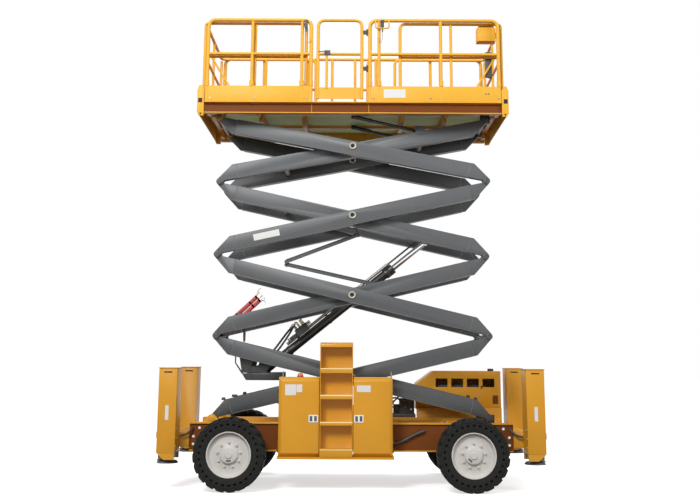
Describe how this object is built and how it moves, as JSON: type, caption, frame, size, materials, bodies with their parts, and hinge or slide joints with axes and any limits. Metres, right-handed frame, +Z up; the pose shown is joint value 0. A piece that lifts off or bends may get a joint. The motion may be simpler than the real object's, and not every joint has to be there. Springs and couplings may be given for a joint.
{
  "type": "rough-terrain scissor lift",
  "caption": "Self-propelled rough-terrain scissor lift: crossed arm pairs between a four-wheel chassis with outriggers and a guarded platform with roll-out decks.",
  "frame": {"origin": "on the ground under the middle of the machine", "axes": "+Z up, +X towards the steered end, -Y towards the side with the ladder"},
  "size_m": [4.596, 2.2, 5.7847],
  "materials": {
    "arm_paint": "satin slate grey paint",
    "black_paint": "semi-gloss black paint",
    "block_nylon": "black wear-resistant nylon",
    "chrome_rod": "hard chromed rod",
    "prop_red": "red paint",
    "hose_rubber": "black hydraulic hose",
    "tyre_rubber": "solid rubber, slightly dusty",
    "wheel_cream": "cream gloss paint",
    "orange_paint": "satin orange-yellow paint",
    "leg_paint": "dark grey paint, scuffed",
    "plastic_grey": "textured dark grey moulding",
    "beacon_amber": "amber lens",
    "engine_iron": "painted cast iron"
  },
  "bodies": {
    "chassis": {"chassis_frame": "orange_paint", "axle_front": "black_paint", "axle_rear": "black_paint", "cabinet_left": "orange_paint", "cabinet_right": "orange_paint", "ladder": "orange_paint", "tank_fuel": "orange_paint", "tank_oil": "orange_paint", "beacon": "beacon_amber", "engine_block": "engine_iron", "outriggers_rear": "orange_paint", "outriggers_front": "orange_paint"},
    "arm_outer_4": {"arm_outer_4": "arm_paint"},
    "arm_inner_4": {"arm_inner_4": "arm_paint"},
    "arm_outer_3": {"arm_outer_3": "arm_paint", "hose_run_lower": "hose_rubber"},
    "arm_inner_3": {"arm_inner_3": "arm_paint"},
    "arm_outer_2": {"arm_outer_2": "arm_paint", "hose_run_upper": "hose_rubber"},
    "arm_inner_2": {"arm_inner_2": "arm_paint"},
    "arm_outer_1": {"arm_outer_1": "arm_paint"},
    "arm_inner_1": {"arm_inner_1": "arm_paint"},
    "platform": {"platform_deck": "orange_paint", "guardrail_near": "orange_paint", "guardrail_far": "orange_paint"},
    "lower_blocks": {"slide_block_lower": "block_nylon"},
    "upper_blocks": {"slide_block_upper": "block_nylon"},
    "cylinder_barrel": {"lift_cylinder_barrel": "black_paint"},
    "cylinder_rod": {"lift_cylinder_rod": "chrome_rod"},
    "maintenance_prop": {"maintenance_prop": "prop_red"},
    "knuckle_near": {"knuckle_near": "black_paint"},
    "knuckle_far": {"knuckle_far": "black_paint"},
    "road_wheel_front_near": {"wheel_front_near": "wheel_cream", "tyre_front_near": "tyre_rubber"},
    "road_wheel_front_far": {"wheel_front_far": "wheel_cream", "tyre_front_far": "tyre_rubber"},
    "road_wheel_rear_near": {"wheel_rear_near": "wheel_cream", "tyre_rear_near": "tyre_rubber"},
    "road_wheel_rear_far": {"wheel_rear_far": "wheel_cream", "tyre_rear_far": "tyre_rubber"},
    "gate": {"gate": "orange_paint"},
    "extension_left": {"extension_deck_left": "orange_paint"},
    "extension_right": {"extension_deck_right": "orange_paint", "control_box": "orange_paint", "document_box": "plastic_grey"},
    "cabinet_left_door": {"cabinet_left_door": "orange_paint"},
    "cabinet_right_door": {"cabinet_right_door": "orange_paint"},
    "engine_hood": {"engine_hood": "orange_paint"},
    "outrigger_leg_rear_near": {"outrigger_leg_rear_near": "leg_paint"},
    "outrigger_leg_rear_far": {"outrigger_leg_rear_far": "leg_paint"},
    "outrigger_leg_front_near": {"outrigger_leg_front_near": "leg_paint"},
    "outrigger_leg_front_far": {"outrigger_leg_front_far": "leg_paint"}
  },
  "joints": [
    {"name": "lift", "type": "hinge", "parent": "chassis", "child": "arm_outer_4", "pos_m": [-1.68791, 0, 0.791], "axis": [0, -1, 0], "range_deg": [-10, 30]},
    {"name": "centre_4", "type": "hinge", "parent": "arm_outer_4", "child": "arm_inner_4", "pos_m": [0, 0, 1.28956], "axis": [0, -1, 0], "range_deg": [-60.5, 20.5]},
    {"name": "end_34", "type": "hinge", "parent": "arm_outer_4", "child": "arm_outer_3", "pos_m": [1.68791, 0, 1.78812], "axis": [0, -1, 0], "range_deg": [-60.5, 20.5]},
    {"name": "centre_3", "type": "hinge", "parent": "arm_outer_3", "child": "arm_inner_3", "pos_m": [0, 0, 2.28668], "axis": [0, -1, 0], "range_deg": [-20.5, 60.5]},
    {"name": "end_23", "type": "hinge", "parent": "arm_outer_3", "child": "arm_outer_2", "pos_m": [-1.68791, 0, 2.78525], "axis": [0, -1, 0], "range_deg": [-20.5, 60.5]},
    {"name": "centre_2", "type": "hinge", "parent": "arm_outer_2", "child": "arm_inner_2", "pos_m": [0, 0, 3.28381], "axis": [0, -1, 0], "range_deg": [-60.5, 20.5]},
    {"name": "end_12", "type": "hinge", "parent": "arm_outer_2", "child": "arm_outer_1", "pos_m": [1.70279, 0, 3.72892], "axis": [0, -1, 0], "range_deg": [-60.5, 20.5]},
    {"name": "centre_1", "type": "hinge", "parent": "arm_outer_1", "child": "arm_inner_1", "pos_m": [0, 0, 4.17402], "axis": [0, -1, 0], "range_deg": [-20.5, 60.5]},
    {"name": "platform_level", "type": "hinge", "parent": "arm_outer_1", "child": "platform", "pos_m": [-1.71597, 0, 4.56524], "axis": [0, -1, 0], "range_deg": [-10.5, 30.5]},
    {"name": "lower_block_level", "type": "hinge", "parent": "arm_inner_4", "child": "lower_blocks", "pos_m": [1.68791, 0, 0.791], "axis": [0, -1, 0], "range_deg": [-10.5, 30.5]},
    {"name": "upper_block_level", "type": "hinge", "parent": "arm_inner_1", "child": "upper_blocks", "pos_m": [1.71597, 0, 4.56524], "axis": [0, -1, 0], "range_deg": [-30.5, 10.5]},
    {"name": "cylinder_swing", "type": "hinge", "parent": "arm_inner_4", "child": "cylinder_barrel", "pos_m": [-1.13, 0, 1.345], "axis": [0, -1, 0], "range_deg": [-20.93, 61.79]},
    {"name": "cylinder_stroke", "type": "slide", "parent": "cylinder_barrel", "child": "cylinder_rod", "axis": [0.7812, 0, 0.6242], "range_m": [-0.4924, 1.4673]},
    {"name": "prop_swing", "type": "hinge", "parent": "arm_inner_3", "child": "maintenance_prop", "pos_m": [-1.68791, 0, 1.78812], "axis": [0, -1, 0], "range_deg": [-28, 0]},
    {"name": "steer_near", "type": "hinge", "parent": "chassis", "child": "knuckle_near", "pos_m": [1.415, -0.705, 0.419], "axis": [0, 0, 1], "range_deg": [-26, 26]},
    {"name": "steer_far", "type": "hinge", "parent": "chassis", "child": "knuckle_far", "pos_m": [1.415, 0.705, 0.419], "axis": [0, 0, 1], "range_deg": [-26.5, 26.5]},
    {"name": "wheel_spin_front_near", "type": "hinge", "parent": "knuckle_near", "child": "road_wheel_front_near", "pos_m": [1.415, -0.95, 0.419], "axis": [0, 1, 0], "continuous": true},
    {"name": "wheel_spin_front_far", "type": "hinge", "parent": "knuckle_far", "child": "road_wheel_front_far", "pos_m": [1.415, 0.95, 0.419], "axis": [0, 1, 0], "continuous": true},
    {"name": "wheel_spin_rear_near", "type": "hinge", "parent": "chassis", "child": "road_wheel_rear_near", "pos_m": [-1.415, -0.95, 0.419], "axis": [0, 1, 0], "continuous": true},
    {"name": "wheel_spin_rear_far", "type": "hinge", "parent": "chassis", "child": "road_wheel_rear_far", "pos_m": [-1.415, 0.95, 0.419], "axis": [0, 1, 0], "continuous": true},
    {"name": "gate_swing", "type": "hinge", "parent": "platform", "child": "gate", "pos_m": [0.1777, -0.842, 5.2], "axis": [0, 0, -1], "range_deg": [0, 90]},
    {"name": "extension_left_roll", "type": "slide", "parent": "platform", "child": "extension_left", "axis": [-1, 0, 0], "range_m": [0, 1.1]},
    {"name": "extension_right_roll", "type": "slide", "parent": "platform", "child": "extension_right", "axis": [1, 0, 0], "range_m": [0, 1.1]},
    {"name": "cabinet_left_hinge", "type": "hinge", "parent": "chassis", "child": "cabinet_left_door", "pos_m": [-0.86, -0.914, 0.84], "axis": [0, 0, -1], "range_deg": [0, 110]},
    {"name": "cabinet_right_hinge", "type": "hinge", "parent": "chassis", "child": "cabinet_right_door", "pos_m": [0.485, -0.914, 0.84], "axis": [0, 0, 1], "range_deg": [0, 110]},
    {"name": "hood_hinge", "type": "hinge", "parent": "chassis", "child": "engine_hood", "pos_m": [1.4225, 1.05, 0.885], "axis": [-1, 0, 0], "range_deg": [0, 75]},
    {"name": "outrigger_rear_near", "type": "slide", "parent": "chassis", "child": "outrigger_leg_rear_near", "axis": [0, 0, -1], "range_m": [0, 0.4]},
    {"name": "outrigger_rear_far", "type": "slide", "parent": "chassis", "child": "outrigger_leg_rear_far", "axis": [0, 0, -1], "range_m": [0, 0.4]},
    {"name": "outrigger_front_near", "type": "slide", "parent": "chassis", "child": "outrigger_leg_front_near", "axis": [0, 0, -1], "range_m": [0, 0.4]},
    {"name": "outrigger_front_far", "type": "slide", "parent": "chassis", "child": "outrigger_leg_front_far", "axis": [0, 0, -1], "range_m": [0, 0.4]}
  ],
  "couplings": [
    {"joint": "centre_4", "follows": "lift", "ratio": -2},
    {"joint": "end_34", "follows": "lift", "ratio": -2},
    {"joint": "centre_3", "follows": "lift", "ratio": 2},
    {"joint": "end_23", "follows": "lift", "ratio": 2},
    {"joint": "centre_2", "follows": "lift", "ratio": -2},
    {"joint": "end_12", "follows": "lift", "ratio": -2},
    {"joint": "centre_1", "follows": "lift", "ratio": 2},
    {"joint": "platform_level", "follows": "lift", "ratio": 1},
    {"joint": "lower_block_level", "follows": "lift", "ratio": 1},
    {"joint": "upper_block_level", "follows": "lift", "ratio": -1},
    {"joint": "cylinder_swing", "follows": "lift", "ratio": 2.0431},
    {"joint": "cylinder_stroke", "follows": "lift", "m_per_rad": 2.7927},
    {"joint": "steer_far", "follows": "steer_near", "ratio": 1}
  ]
}
